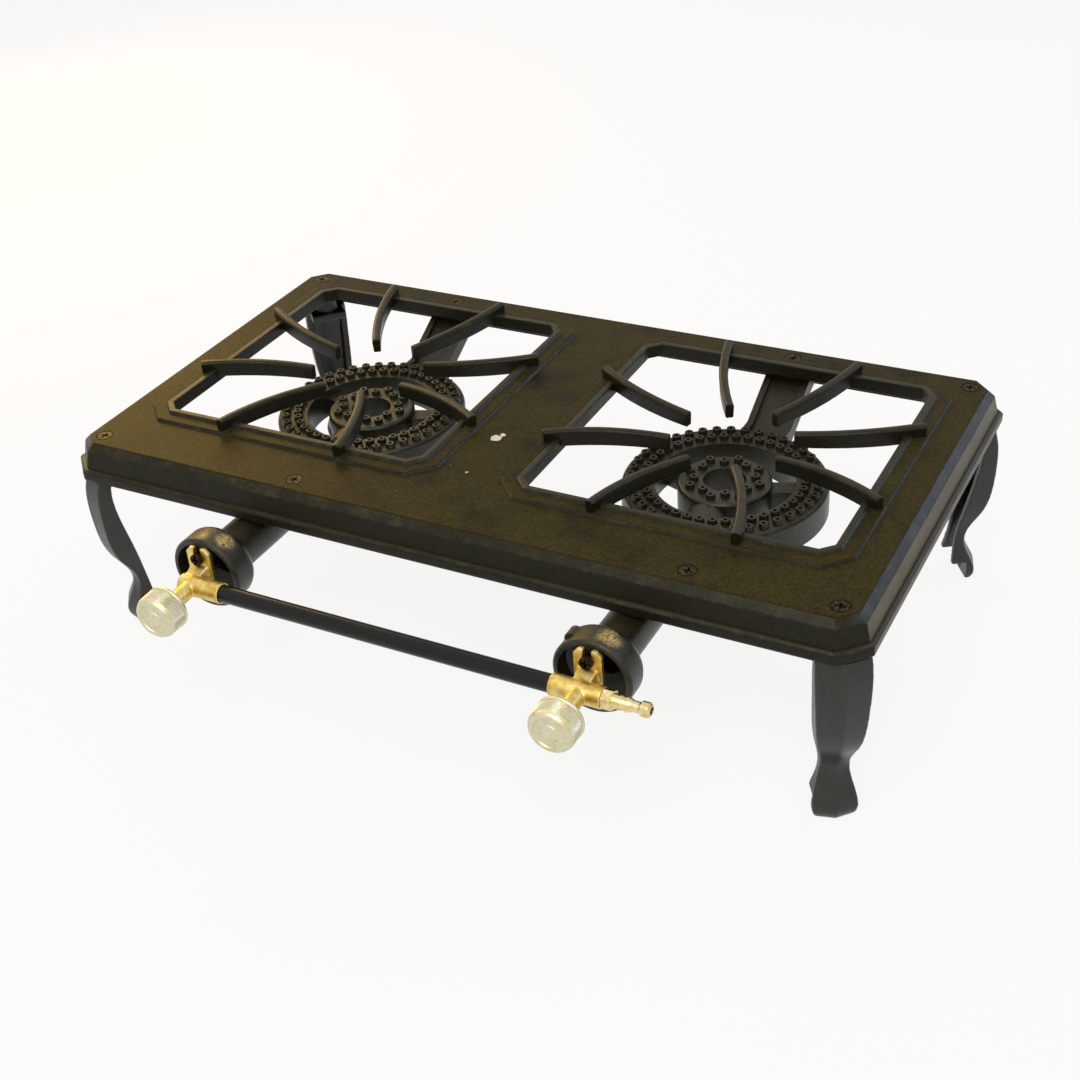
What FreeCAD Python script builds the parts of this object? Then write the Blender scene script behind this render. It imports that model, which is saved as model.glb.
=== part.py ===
import FreeCAD, Part
import math
import os

# Two-burner cast-iron gas boiling table, in millimetres.
# +X is the right-hand side, +Y the back and +Z up. The floor is z = 0 and the origin is under the
# middle of the whole object. The pieces are drawn about the middle of the top plate and moved at the end.

Vector = FreeCAD.Vector

# Top casting: plate, skirt and the moulded lip along the skirt's foot
table_height = 158.0
plate_length = 590.0
plate_depth = 318.0
plate_thickness = 6.0
corner_cut = 14.0
top_bevel_run = 5.5
top_bevel_drop = 5.3
skirt_wall = 5.0
wall_height = 12.3
wall_draft = 3.2
lip_reach = 3.2
lip_height = 9.9
lip_edge = 2.0

# Openings over the burners, each with a border of two low steps
opening_pitch = 296.0
opening_back_shift = 13.3
opening_width = 216.0
opening_depth = 216.8
opening_cut = 8.0
inner_tread = 4.6
outer_tread = 11.0
border_step = 2.0
riser_run = 1.2

# Pan fingers: measured from the middle of an opening, in the quarter at its back right
side_finger_root = (120.0, 50.4)
side_finger_tip = (39.0, 17.0)
side_finger_bulge = 4.8
back_finger_root = (50.4, 121.0)
back_finger_tip = (16.5, 37.0)
back_finger_bulge = 4.5
finger_width = 6.6
finger_edge = 1.5
finger_draft = 0.5
finger_root_rise = 10.7
finger_tip_rise = 5.3
finger_arch = 0.7
finger_root_sink = 2.0
finger_tip_depth = 11.0
finger_stations = 5

# Legs: reaches are measured outward on the corner's diagonal from the skirt's corner
leg_wall = 5.0
leg_ridge_angle = 16.0
leg_ridge_round = 5.0
leg_ridge_fall = 1.6
leg_shoulder_gap = 0.3
leg_shoulder_reach = -5.0
leg_shoulder_width = 34.0
leg_shoulder_depth = 14.0
leg_knee_drop = 48.0
leg_knee_reach = -0.5
leg_knee_width = 34.8
leg_knee_depth = 16.2
leg_shin_reach = -1.3
leg_shin_width = 32.2
leg_shin_depth = 19.4
leg_calf_height = 57.5
leg_calf_reach = -8.3
leg_calf_width = 26.0
leg_calf_depth = 17.4
leg_ankle_height = 27.5
leg_ankle_reach = -18.0
leg_ankle_width = 21.8
leg_ankle_depth = 12.0
leg_ankle_wall = 6.5
leg_toe_height = 14.0
leg_toe_reach = -11.5
leg_toe_width = 28.5
leg_toe_depth = 20.0
leg_toe_wall = 8.5
leg_sole_reach = -13.0
leg_sole_width = 24.5
leg_sole_depth = 20.0
leg_sole_wall = 7.5
leg_heel_height = 15.0
leg_web_thickness = 7.0
leg_web_back = -36.0
leg_boss_radius = 9.0
leg_screw_inset = 24.5
leg_twist_front_left = -10.0
leg_twist_front_right = 14.5
leg_twist_rear_left = 0.0
leg_twist_rear_right = 11.0

# Countersunk screws through the plate
screw_radius = 3.0
screw_head_radius = 5.6
screw_length = 18.0
screw_hole_clearance = 0.3
screw_seat_clearance = 0.05
thread_clearance = 0.05
recess_width = 1.3
recess_span = 6.4
recess_depth = 1.6

# Burner castings: two hollow rings with nipples, a mixing tube and an air bell
burner_pitch = 291.0
burner_back_shift = 6.0
burner_top_drop = 28.0
ring_height = 22.0
ring_wall = 4.0
ring_edge = 3.0
outer_ring_radius = 72.0
outer_ring_bore = 49.0
inner_ring_radius = 33.0
inner_ring_bore = 15.0
bridge_width = 14.0
bridge_drop = 6.0
bridge_angles = (20.0, 160.0)
nipple_foot_radius = 3.7
nipple_top_radius = 3.1
nipple_height = 3.6
port_radius = 1.2
outer_nipple_row = 65.5
inner_nipple_row = 56.0
outer_nipple_count = 40
centre_nipple_row = 23.5
centre_nipple_stagger = 2.2
centre_nipple_count = 16

# Mixing tube and bell, on one axis
tube_drop = 45.0
tube_radius = 16.0
tube_bore = 11.0
bell_front = 208.0
bell_radius = 27.0
bell_wall = 4.0
bell_length = 16.0
bell_shoulder = 8.0
bell_edge = 1.5
gate_stub_radius = 5.0
gate_stub_length = 9.0
gate_stub_angle = 130.0

# Rear arm and front lug, which hang the burner from the plate
arm_width = 34.0
arm_thickness = 9.0
arm_low_drop = 35.0
arm_flat = 14.0
arm_high_drop = 13.0
arm_rib_width = 5.0
arm_rib_height = 4.0
arm_pad_length = 20.0
arm_pad_thickness = 9.0
rear_screw_inset = 17.0
front_screw_inset = 17.5
front_screw_offset = 35.4
lug_post_radius = 8.0
lug_web_height = 12.0
lug_web_rise = 15.0

# Lug inside the bell for the valve's screw
valve_lug_width = 12.0
valve_lug_depth = 12.0
valve_lug_height = 15.0
valve_screw_rise = 15.0
valve_screw_radius = 2.5
valve_screw_head_radius = 4.4
valve_screw_head_height = 3.0
valve_screw_length = 14.0

# Brass valve: fork plate, boss, cross tube and bonnet
fork_thickness = 4.0
fork_width = 19.0
fork_rise = 23.0
fork_fall = 9.0
fork_slot_clearance = 0.2
fork_edge = 2.0
fork_prong_cut = 3.5
gusset_rise = 10.0
gusset_width = 14.0
gusset_end_rise = 4.0
gusset_end_width = 8.0
boss_radius = 8.5
cross_tube_gap = 10.5
cross_tube_radius = 7.25
cross_bore = 4.25
supply_end_reach = 19.5
nozzle_end_reach = 15.5
left_end_reach = 25.5
left_blank_reach = 8.0
tube_socket_depth = 8.0
bonnet_radius = 6.0
bonnet_length = 25.0
bonnet_thread_radius = 5.0
bonnet_thread_length = 4.5
seat_thickness = 3.5

# Needle spindle, packing and gland nut
spindle_radius = 2.5
needle_tip_radius = 0.4
needle_length = 4.0
needle_reach = 2.5
running_clearance = 0.04
packing_thickness = 1.5
gland_flats = 14.0
gland_end_wall = 2.5
gland_gap = 0.3

# Injector
injector_thread_radius = 4.0
injector_thread_length = 5.5
injector_flats = 10.0
injector_head = 4.0
injector_nose_length = 11.0
injector_nose_radius = 2.0
injector_bore = 1.4
injector_orifice = 0.5
injector_tip = 3.0

# Knob
knob_radius = 15.75
knob_length = 17.0
knob_gap = 0.5
knob_recess_clearance = 1.9
knob_recess_room = 1.5
knob_rim_length = 3.0
knob_rim_inset = 0.9
knob_face_inset = 4.0
knob_face_depth = 1.2
knob_cap = 2.5
knurl_count = 60
knurl_depth = 0.6

# Supply tube and hose nozzle
manifold_radius = 6.0
manifold_wall = 1.5
socket_clearance = 0.05
nozzle_spigot_length = 8.0
nozzle_collar_flats = 12.0
nozzle_collar_length = 6.5
nozzle_bore = 2.5
barb_count = 3
barb_length = 4.2
barb_low_radius = 4.0
barb_high_radius = 5.0
nozzle_neck_radius = 3.6
nozzle_neck_length = 4.5
nozzle_bead_radius = 4.9
nozzle_bead_length = 4.6
nozzle_bead_edge = 1.4

# Levels and places that follow from the sizes above
plate_underside = table_height - plate_thickness
bevel_level = table_height - top_bevel_drop
wall_foot = bevel_level - wall_height
skirt_foot = wall_foot - lip_height
burner_top = table_height - burner_top_drop
ring_foot = burner_top - ring_height
tube_level = table_height - tube_drop
leg_screw_step = leg_screw_inset / math.sqrt(2)
rear_screw_y = plate_depth / 2 - rear_screw_inset
front_screw_y = front_screw_inset - plate_depth / 2
fork_front = -bell_front - fork_thickness
cross_tube_y = fork_front - cross_tube_gap
bonnet_end = cross_tube_y - bonnet_length
packing_front = bonnet_end - bonnet_thread_length - packing_thickness
gland_front = packing_front - gland_end_wall
knob_back = bonnet_end - knob_gap
knob_face = knob_back - knob_length
knob_recess_end = gland_front - knob_recess_room
spindle_front = knob_face + knob_cap
seat_front = cross_tube_y + cross_bore
seat_back = seat_front + seat_thickness
needle_tip_y = seat_front + needle_reach
needle_back_y = needle_tip_y - needle_length


# Shared helpers

def prism(points, direction):
    """A flat-sided solid: the closed outline pushed along a direction."""
    outline = Part.makePolygon(points + points[:1])
    return Part.Face(outline).extrude(direction)


def block(low, high):
    """A box between two opposite corners."""
    size = high - low
    return Part.makeBox(size.x, size.y, size.z, low)


def rod(radius, start, end):
    """A cylinder between two points."""
    return Part.makeCylinder(radius, (end - start).Length, start, end - start)


def turned(profile, axis_point, axis):
    """A solid of revolution from a closed outline of edges or points."""
    if isinstance(profile[0], Vector):
        outline = Part.makePolygon(profile + profile[:1])
    else:
        outline = Part.Wire(profile)
    return Part.Face(outline).revolve(axis_point, axis, 360)


def turned_along_y(stations, level=0):
    """A solid of revolution about a line along Y at a height, from (radius, y) points."""
    points = [Vector(radius, y, level) for radius, y in stations]
    return turned(points, Vector(0, 0, level), Vector(0, 1, 0))


def turned_along_x(stations, y):
    """A solid of revolution about a line along X, from (x, radius) points."""
    points = [Vector(x, y + radius, 0) for x, radius in stations]
    return turned(points, Vector(0, y, 0), Vector(1, 0, 0))


def hexagon_rod(flats, start, end):
    """A hexagon bar of a width across flats between two points on a line along X or Y."""
    axis = (end - start).normalize()
    across = Vector(0, 0, 1)
    corner = flats / math.sqrt(3)
    points = []
    for index in range(6):
        turn = FreeCAD.Rotation(axis, 60 * index)
        points.append(start + turn.multVec(across) * corner)
    return prism(points, end - start)


def cut_rectangle(half_x, half_y, cut, grow, level):
    """The outline of a rectangle with cut corners, grown outward by an even margin."""
    x = half_x + grow
    y = half_y + grow
    c = cut + grow * (2 - math.sqrt(2))
    points = [
        Vector(x - c, -y, level), Vector(x, c - y, level),
        Vector(x, y - c, level), Vector(x - c, y, level),
        Vector(c - x, y, level), Vector(-x, y - c, level),
        Vector(-x, c - y, level), Vector(c - x, -y, level),
    ]
    return Part.makePolygon(points + points[:1])


def skirt_solid(levels):
    """A flat-sided solid through the plate's outline at (height, growth) levels."""
    outlines = [
        cut_rectangle(plate_length / 2, plate_depth / 2, corner_cut, grow, level)
        for level, grow in levels
    ]
    return Part.makeLoft(outlines, True, True)


def opening_solid(levels):
    """A flat-sided solid through an opening's outline at (height, growth) levels."""
    outlines = [
        cut_rectangle(opening_width / 2, opening_depth / 2, opening_cut, grow, level)
        for level, grow in levels
    ]
    return Part.makeLoft(outlines, True, True)


def copies(shape, places):
    """The same shape set down at each place."""
    moved = []
    for place in places:
        twin = shape.copy()
        twin.translate(place)
        moved.append(twin)
    return moved


# Top casting

opening_places = [
    Vector(side * opening_pitch / 2, opening_back_shift, 0) for side in (-1, 1)
]
leg_screw_places = [
    Vector(
        side * (plate_length / 2 - leg_screw_step),
        end * (plate_depth / 2 - leg_screw_step),
        table_height,
    )
    for side in (-1, 1) for end in (-1, 1)
]
burner_screw_places = []
for side in (-1, 1):
    burner_x = side * burner_pitch / 2
    burner_screw_places.append(Vector(burner_x + front_screw_offset, front_screw_y, table_height))
    burner_screw_places.append(Vector(burner_x, rear_screw_y, table_height))


def finger(root, tip, bulge):
    """A pan finger: an upright blade along a bowed line from its root on the border to its tip."""
    start = Vector(root[0], root[1], 0)
    chord = Vector(tip[0], tip[1], 0) - start
    across = Vector(-chord.y, chord.x, 0).normalize()
    sections = []
    for station in range(finger_stations):
        share = station / (finger_stations - 1)
        bow = 4 * share * (1 - share)
        middle = start + chord * share + across * (bulge * bow)
        heading = chord + across * (4 * bulge * (1 - 2 * share))
        sideways = Vector(-heading.y, heading.x, 0).normalize()
        rise = finger_root_rise + (finger_tip_rise - finger_root_rise) * share + finger_arch * bow
        sink = finger_root_sink + (finger_tip_depth - finger_tip_rise - finger_root_sink) * share
        half = finger_width / 2
        outline = [
            (finger_draft - half, -sink), (-half, rise - finger_edge),
            (finger_edge - half, rise), (half - finger_edge, rise),
            (half, rise - finger_edge), (half - finger_draft, -sink),
        ]
        points = [
            middle + sideways * offset + Vector(0, 0, table_height + height)
            for offset, height in outline
        ]
        sections.append(Part.makePolygon(points + points[:1]))
    return Part.makeLoft(sections, True, False)


def finger_set():
    """The eight fingers of one opening: a pair in each quarter, mirrored about the opening's axes."""
    pair = [
        finger(side_finger_root, side_finger_tip, side_finger_bulge),
        finger(back_finger_root, back_finger_tip, back_finger_bulge),
    ]
    middle = Vector(0, 0, 0)
    right = pair + [blade.mirror(middle, Vector(0, 1, 0)) for blade in pair]
    return right + [blade.mirror(middle, Vector(1, 0, 0)) for blade in right]


def countersunk_hole():
    """Clearance hole and right-angled countersink for a screw whose head lies flush at z = 0."""
    hole = screw_radius + screw_hole_clearance
    head = screw_head_radius + screw_seat_clearance
    points = [
        Vector(0, 0, border_step), Vector(head, 0, border_step), Vector(head, 0, 0),
        Vector(hole, 0, hole - head),
        Vector(hole, 0, -screw_length), Vector(0, 0, -screw_length),
    ]
    return turned(points, Vector(0, 0, 0), Vector(0, 0, 1))


def top_frame():
    """The top casting: a shallow upturned tray with two bordered openings and their pan fingers."""
    lip_grow = wall_draft + lip_reach
    shell = skirt_solid([
        (wall_foot - lip_edge, wall_draft), (bevel_level, 0), (table_height, -top_bevel_run),
    ])
    lip = skirt_solid([
        (skirt_foot, lip_grow - lip_edge), (skirt_foot + lip_edge, lip_grow),
        (wall_foot - lip_edge, lip_grow), (wall_foot, lip_grow - lip_edge),
    ])
    hollow = skirt_solid([
        (skirt_foot - lip_height, wall_draft - skirt_wall), (skirt_foot, wall_draft - skirt_wall),
        (plate_underside, -skirt_wall),
    ])
    border = opening_solid([
        (table_height - riser_run, inner_tread + outer_tread),
        (table_height, inner_tread + outer_tread),
        (table_height + border_step, inner_tread + outer_tread - riser_run),
    ]).fuse(opening_solid([
        (table_height, inner_tread + riser_run),
        (table_height + border_step, inner_tread + riser_run),
        (table_height + 2 * border_step, inner_tread),
    ]))
    window = opening_solid([
        (skirt_foot, 0), (table_height + 2 * border_step + riser_run, 0),
    ])
    solid = shell.fuse(lip).cut(hollow)
    solid = solid.fuse(copies(border, opening_places))
    solid = solid.cut(Part.makeCompound(copies(window, opening_places)))
    blades = []
    for place in opening_places:
        for blade in finger_set():
            blades += copies(blade, [place])
    solid = solid.fuse(blades)
    holes = copies(countersunk_hole(), leg_screw_places + burner_screw_places)
    return solid.cut(Part.makeCompound(holes)).removeSplitter()


def plate_screw():
    """A countersunk screw with a cross recess, its head flush at z = 0."""
    points = [
        Vector(0, 0, 0), Vector(screw_head_radius, 0, 0),
        Vector(screw_radius, 0, screw_radius - screw_head_radius),
        Vector(screw_radius, 0, -screw_length), Vector(0, 0, -screw_length),
    ]
    screw = turned(points, Vector(0, 0, 0), Vector(0, 0, 1))
    half = recess_width / 2
    arm = block(Vector(-recess_span / 2, -half, -recess_depth), Vector(recess_span / 2, half, recess_depth))
    turned_arm = arm.copy()
    turned_arm.rotate(Vector(0, 0, 0), Vector(0, 0, 1), 90)
    return screw.cut(arm.fuse(turned_arm))


# Legs

ridge_slope = math.tan(math.radians(leg_ridge_angle))
knee_height = table_height - leg_knee_drop
shin_height = (leg_calf_height + knee_height) / 2
shoulder_height = skirt_foot - leg_shoulder_gap
leg_stations = [
    (0, leg_sole_reach, leg_sole_width, leg_sole_depth, leg_sole_wall),
    (leg_toe_height, leg_toe_reach, leg_toe_width, leg_toe_depth, leg_toe_wall),
    (leg_ankle_height, leg_ankle_reach, leg_ankle_width, leg_ankle_depth, leg_ankle_wall),
    (leg_calf_height, leg_calf_reach, leg_calf_width, leg_calf_depth, leg_wall),
    (shin_height, leg_shin_reach, leg_shin_width, leg_shin_depth, leg_wall),
    (knee_height, leg_knee_reach, leg_knee_width, leg_knee_depth, leg_wall),
    (shoulder_height, leg_shoulder_reach, leg_shoulder_width, leg_shoulder_depth, leg_wall),
]


def mirrored_outline(points):
    """A closed outline from points on its +Y side, the first on the line of symmetry."""
    other = [Vector(p.x, -p.y, p.z) for p in reversed(points) if p.y > 0]
    return points + other


def leg_section(height, reach, width, depth, wall):
    """A leg's outline at one height: two walls that meet in a blunt ridge, each with a flange."""
    half = width / 2
    inner = half - leg_wall
    back = reach - depth
    shoulder = reach - leg_ridge_fall
    side = [
        Vector(reach, 0, height), Vector(shoulder, leg_ridge_round, height),
        Vector(shoulder - ridge_slope * (half - leg_ridge_round), half, height),
        Vector(back, half, height), Vector(back, inner, height),
        Vector(reach - wall - ridge_slope * inner, inner, height),
    ]
    points = mirrored_outline(side)
    points.insert(len(side), Vector(reach - wall, 0, height))
    return Part.makePolygon(points + points[:1])


def leg_neck():
    """The web that closes the leg's top, and the tapped boss on it that rises inside the skirt."""
    half = leg_shoulder_width / 2 - leg_wall / 2
    front = leg_shoulder_reach - leg_wall / 2
    foot = shoulder_height - leg_web_thickness
    web = mirrored_outline([
        Vector(front, 0, foot), Vector(front - ridge_slope * half, half, foot),
        Vector(leg_web_back, half, foot),
    ])
    boss = rod(
        leg_boss_radius, Vector(-leg_screw_inset, 0, foot), Vector(-leg_screw_inset, 0, plate_underside)
    )
    return [prism(web, Vector(0, 0, leg_web_thickness)), boss]


def leg():
    """A cabriole leg, open at the back, with a solid hoof below its flanges; +X points outward."""
    body = Part.makeLoft([leg_section(*station) for station in leg_stations], True, False)
    hoof_back = leg_toe_reach - leg_toe_wall
    behind = leg_toe_reach - 2 * leg_toe_depth
    below_heel = block(
        Vector(behind, -leg_toe_width, 0), Vector(hoof_back, leg_toe_width, leg_heel_height)
    )
    seat = Vector(-leg_screw_inset, 0, plate_underside)
    thread = rod(screw_radius + thread_clearance, seat + Vector(0, 0, -screw_length), seat)
    return body.cut(below_heel).fuse(leg_neck()).cut(thread).removeSplitter()


leg_twists = {
    (-1, -1): leg_twist_front_left,
    (1, -1): leg_twist_front_right,
    (-1, 1): leg_twist_rear_left,
    (1, 1): leg_twist_rear_right,
}


def leg_at(side, end):
    """A leg set under its corner, twisted clockwise about its one screw by its own angle."""
    placed = leg()
    placed.rotate(Vector(-leg_screw_inset, 0, 0), Vector(0, 0, 1), -leg_twists[side, end])
    turn = math.degrees(math.atan2(end, side))
    placed.rotate(Vector(0, 0, 0), Vector(0, 0, 1), turn)
    placed.translate(Vector(side * plate_length / 2, end * plate_depth / 2, 0))
    return placed


# Burners: drawn on the burner's own line x = 0 and moved left or right

ring_middle = Vector(0, burner_back_shift, 0)


def around(radius, angle, level):
    """A point on a circle about the middle of the rings."""
    turn = math.radians(angle)
    return ring_middle + Vector(radius * math.cos(turn), radius * math.sin(turn), level)


def ring(bore, radius):
    """A solid ring with a rounded outer top edge."""
    y = burner_back_shift
    corner = Vector(radius - ring_edge, y, burner_top - ring_edge)
    bend = math.sqrt(0.5) * ring_edge
    points = [
        Vector(radius - ring_edge, y, burner_top), Vector(bore, y, burner_top),
        Vector(bore, y, ring_foot), Vector(radius, y, ring_foot),
        Vector(radius, y, burner_top - ring_edge),
    ]
    edges = [Part.LineSegment(a, b).toShape() for a, b in zip(points, points[1:])]
    edges.append(Part.Arc(points[-1], corner + Vector(bend, 0, bend), points[0]).toShape())
    return turned(edges, ring_middle, Vector(0, 0, 1))


def chamber(bore, radius):
    """The gas space inside a ring."""
    y = burner_back_shift
    low = ring_foot + ring_wall
    high = burner_top - ring_wall
    points = [
        Vector(bore + ring_wall, y, low), Vector(radius - ring_wall, y, low),
        Vector(radius - ring_wall, y, high), Vector(bore + ring_wall, y, high),
    ]
    return turned(points, ring_middle, Vector(0, 0, 1))


def bridge(angle):
    """A cast web across the gap between the two rings."""
    web = block(
        Vector(inner_ring_radius - ring_wall, -bridge_width / 2, ring_foot),
        Vector(outer_ring_bore + ring_wall, bridge_width / 2, burner_top - bridge_drop),
    )
    web.rotate(Vector(0, 0, 0), Vector(0, 0, 1), angle)
    web.translate(ring_middle)
    return web


def nipple_places():
    """Middles of all the nipples: two staggered rows on the outer ring and a wavy row on the inner."""
    places = []
    step = 360 / outer_nipple_count
    for index in range(outer_nipple_count):
        places.append(around(outer_nipple_row, index * step, burner_top))
        places.append(around(inner_nipple_row, (index + 0.5) * step, burner_top))
    step = 360 / centre_nipple_count
    for index in range(centre_nipple_count):
        sway = centre_nipple_stagger * (-1) ** index
        places.append(around(centre_nipple_row + sway, index * step, burner_top))
    return places


def bell_shell():
    """The mixing tube's outside with its air bell in front, about the tube's axis."""
    shoulder_back = bell_front - bell_length - bell_shoulder
    drop = bell_radius - tube_radius
    tube_end = burner_back_shift - inner_ring_radius + 3 * ring_wall
    bend = math.sqrt(0.5)
    points = [
        Vector(tube_radius, -shoulder_back, tube_level), Vector(tube_radius, tube_end, tube_level),
        Vector(0, tube_end, tube_level), Vector(0, -bell_front, tube_level),
        Vector(bell_radius - bell_edge, -bell_front, tube_level),
        Vector(bell_radius, bell_edge - bell_front, tube_level),
        Vector(bell_radius, bell_length - bell_front, tube_level),
    ]
    edges = [Part.LineSegment(a, b).toShape() for a, b in zip(points, points[1:])]
    middle = Vector(
        tube_radius + bend * drop, bell_length + bend * bell_shoulder - bell_front, tube_level
    )
    edges.append(Part.Arc(points[-1], middle, points[0]).toShape())
    return turned(edges, Vector(0, 0, tube_level), Vector(0, 1, 0))


def bell_hollow():
    """The air space inside the bell and the mixing tube, up to the inner ring's chamber."""
    floor = bell_length - bell_wall - bell_front
    inside = bell_radius - bell_wall
    return turned_along_y([
        (0, -bell_front - bell_edge), (inside, -bell_front - bell_edge), (inside, floor),
        (tube_bore, floor + bell_shoulder),
        (tube_bore, burner_back_shift - inner_ring_radius + 2 * ring_wall),
        (0, burner_back_shift - inner_ring_radius + 2 * ring_wall),
    ], tube_level)


def arm_prism(half_low, half_high, lift):
    """A length of the rear arm between two x planes, its sloping top raised by a lift."""
    start = burner_back_shift + outer_ring_radius - ring_wall
    bend = burner_back_shift + outer_ring_radius + arm_flat
    pad_front = rear_screw_y - arm_pad_length / 2
    pad_back = rear_screw_y + arm_pad_length / 2
    low = table_height - arm_low_drop
    high = table_height - arm_high_drop
    outline = [
        (start, low + lift), (bend, low + lift), (pad_front, high + lift),
        (pad_front, plate_underside), (pad_back, plate_underside),
        (pad_back, plate_underside - arm_pad_thickness), (pad_front, high - arm_thickness),
        (bend, low - arm_thickness), (start, low - arm_thickness),
    ]
    points = [Vector(half_low, y, z) for y, z in outline]
    return prism(points, Vector(half_high - half_low, 0, 0))


def rear_arm():
    """The arm from the outer ring up to the rear rail, with a raised rib along each edge."""
    half = arm_width / 2
    return [
        arm_prism(-half, half, 0),
        arm_prism(-half, arm_rib_width - half, arm_rib_height),
        arm_prism(half - arm_rib_width, half, arm_rib_height),
    ]


def front_lug():
    """The web and post that hang the mixing tube from the front rail."""
    low = tube_level + lug_web_rise - lug_web_height / 2
    web = block(
        Vector(0, front_screw_y - lug_post_radius, low),
        Vector(front_screw_offset, front_screw_y + lug_post_radius, low + lug_web_height),
    )
    foot = Vector(front_screw_offset, front_screw_y, low)
    head = Vector(front_screw_offset, front_screw_y, plate_underside)
    return [web, rod(lug_post_radius, foot, head)]


def gate_stub():
    """A stub of casting gate left on the back of the bell."""
    turn = math.radians(gate_stub_angle)
    middle = bell_radius - gate_stub_radius / 2
    back = bell_length - bell_front
    start = Vector(middle * math.cos(turn), back, tube_level + middle * math.sin(turn))
    return rod(gate_stub_radius, start, start - Vector(0, gate_stub_length, 0))


def valve_lug():
    """The lug inside the top of the bell that takes the valve's screw."""
    top = tube_level + bell_radius - bell_wall / 2
    return block(
        Vector(-valve_lug_width / 2, -bell_front, top - valve_lug_height),
        Vector(valve_lug_width / 2, valve_lug_depth - bell_front, top),
    )


def burner(has_gate_stub):
    """One burner casting."""
    places = nipple_places()
    nipple = Part.makeCone(
        nipple_foot_radius, nipple_top_radius, nipple_height + ring_wall / 2,
        Vector(0, 0, -ring_wall / 2),
    )
    port_foot = Vector(0, 0, -ring_wall - port_radius)
    port = rod(port_radius, port_foot, Vector(0, 0, nipple_height + port_radius))
    parts = [ring(inner_ring_bore, inner_ring_radius), bell_shell()]
    parts += [bridge(angle) for angle in bridge_angles]
    parts += rear_arm() + front_lug() + copies(nipple, places)
    if has_gate_stub:
        parts.append(gate_stub())
    solid = ring(outer_ring_bore, outer_ring_radius).fuse(parts)
    solid = solid.cut(Part.makeCompound([
        chamber(outer_ring_bore, outer_ring_radius), chamber(inner_ring_bore, inner_ring_radius),
    ]))
    solid = solid.cut(bell_hollow())
    solid = solid.cut(Part.makeCompound(copies(port, places)))
    solid = solid.fuse(valve_lug())
    screw_hole = rod(screw_radius + thread_clearance, Vector(0, 0, -screw_length), Vector(0, 0, 0))
    tapped = copies(screw_hole, [
        Vector(front_screw_offset, front_screw_y, table_height), Vector(0, rear_screw_y, table_height),
    ])
    lug_middle = Vector(0, -bell_front, tube_level + valve_screw_rise)
    tapped.append(rod(
        valve_screw_radius + thread_clearance, lug_middle, lug_middle + Vector(0, valve_lug_depth, 0)
    ))
    return solid.cut(Part.makeCompound(tapped)).removeSplitter()


# Valves: drawn on the valve's own line x = 0 and moved left or right

# The valves, knobs, supply tube and nozzle are drawn with their axis at z = 0 and raised when all are made

def on_axis(y, x=0):
    """A point on the valve's axis, or beside it."""
    return Vector(x, y, 0)


def fork_plate():
    """The upright plate with a slot open at the top, which a screw clamps to the bell's lug."""
    half = fork_width / 2
    low = -fork_fall
    high = fork_rise
    outline = [
        (fork_edge - half, low), (half - fork_edge, low), (half, low + fork_edge),
        (half, high - fork_prong_cut), (half - fork_prong_cut, high),
        (fork_prong_cut - half, high), (-half, high - fork_prong_cut), (-half, low + fork_edge),
    ]
    plate = prism([Vector(x, fork_front, z) for x, z in outline], Vector(0, fork_thickness, 0))
    gap = valve_screw_radius + fork_slot_clearance
    middle = on_axis(fork_front) + Vector(0, 0, valve_screw_rise)
    slot = rod(gap, middle, middle + Vector(0, fork_thickness, 0))
    throat = block(
        middle - Vector(gap, 0, 0), Vector(gap, -bell_front, high),
    )
    return plate.cut(slot.fuse(throat))


def gusset():
    """The sloping web in front of the fork plate, from under its slot down to the bonnet's top."""
    outlines = []
    for y, width, rise in (
        (fork_front, gusset_width, gusset_rise),
        (cross_tube_y - cross_tube_radius, gusset_end_width, gusset_end_rise),
    ):
        across = Vector(width / 2, 0, 0)
        low = on_axis(y)
        high = low + Vector(0, 0, rise)
        points = [low - across, low + across, high + across, high - across]
        outlines.append(Part.makePolygon(points + points[:1]))
    return Part.makeLoft(outlines, True, True)


def valve_body(left_reach, right_reach, left_socket, right_socket, left_open):
    """A valve body. A socket takes the supply tube at that end of the cross tube."""
    solid = fork_plate().fuse([
        gusset(),
        turned_along_y([
            (0, fork_front), (boss_radius, fork_front),
            (cross_tube_radius, cross_tube_y), (0, cross_tube_y),
        ]),
        rod(cross_tube_radius, on_axis(cross_tube_y, -left_reach), on_axis(cross_tube_y, right_reach)),
        rod(bonnet_radius, on_axis(cross_tube_y), on_axis(bonnet_end)),
        rod(bonnet_thread_radius, on_axis(bonnet_end), on_axis(bonnet_end - bonnet_thread_length)),
    ])
    bore_left = -left_reach if left_open else -cross_bore
    seat_radius = needle_radius_at(seat_front) + running_clearance
    bores = [
        rod(cross_bore, on_axis(cross_tube_y, bore_left), on_axis(cross_tube_y, right_reach)),
        rod(spindle_radius + running_clearance, on_axis(cross_tube_y),
            on_axis(bonnet_end - bonnet_thread_length)),
        turned_along_y([
            (0, needle_back_y), (spindle_radius + running_clearance, needle_back_y),
            (seat_radius, seat_front), (seat_radius, seat_back), (0, seat_back),
        ]),
        rod(injector_thread_radius + thread_clearance, on_axis(seat_back), on_axis(-bell_front)),
    ]
    socket = manifold_radius + socket_clearance
    if left_socket:
        end = on_axis(cross_tube_y, -left_reach)
        bores.append(rod(socket, end, end + Vector(tube_socket_depth, 0, 0)))
    if right_socket:
        end = on_axis(cross_tube_y, right_reach)
        bores.append(rod(socket, end, end - Vector(tube_socket_depth, 0, 0)))
    for bore in bores:
        solid = solid.cut(bore)
    return solid.removeSplitter()


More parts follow.
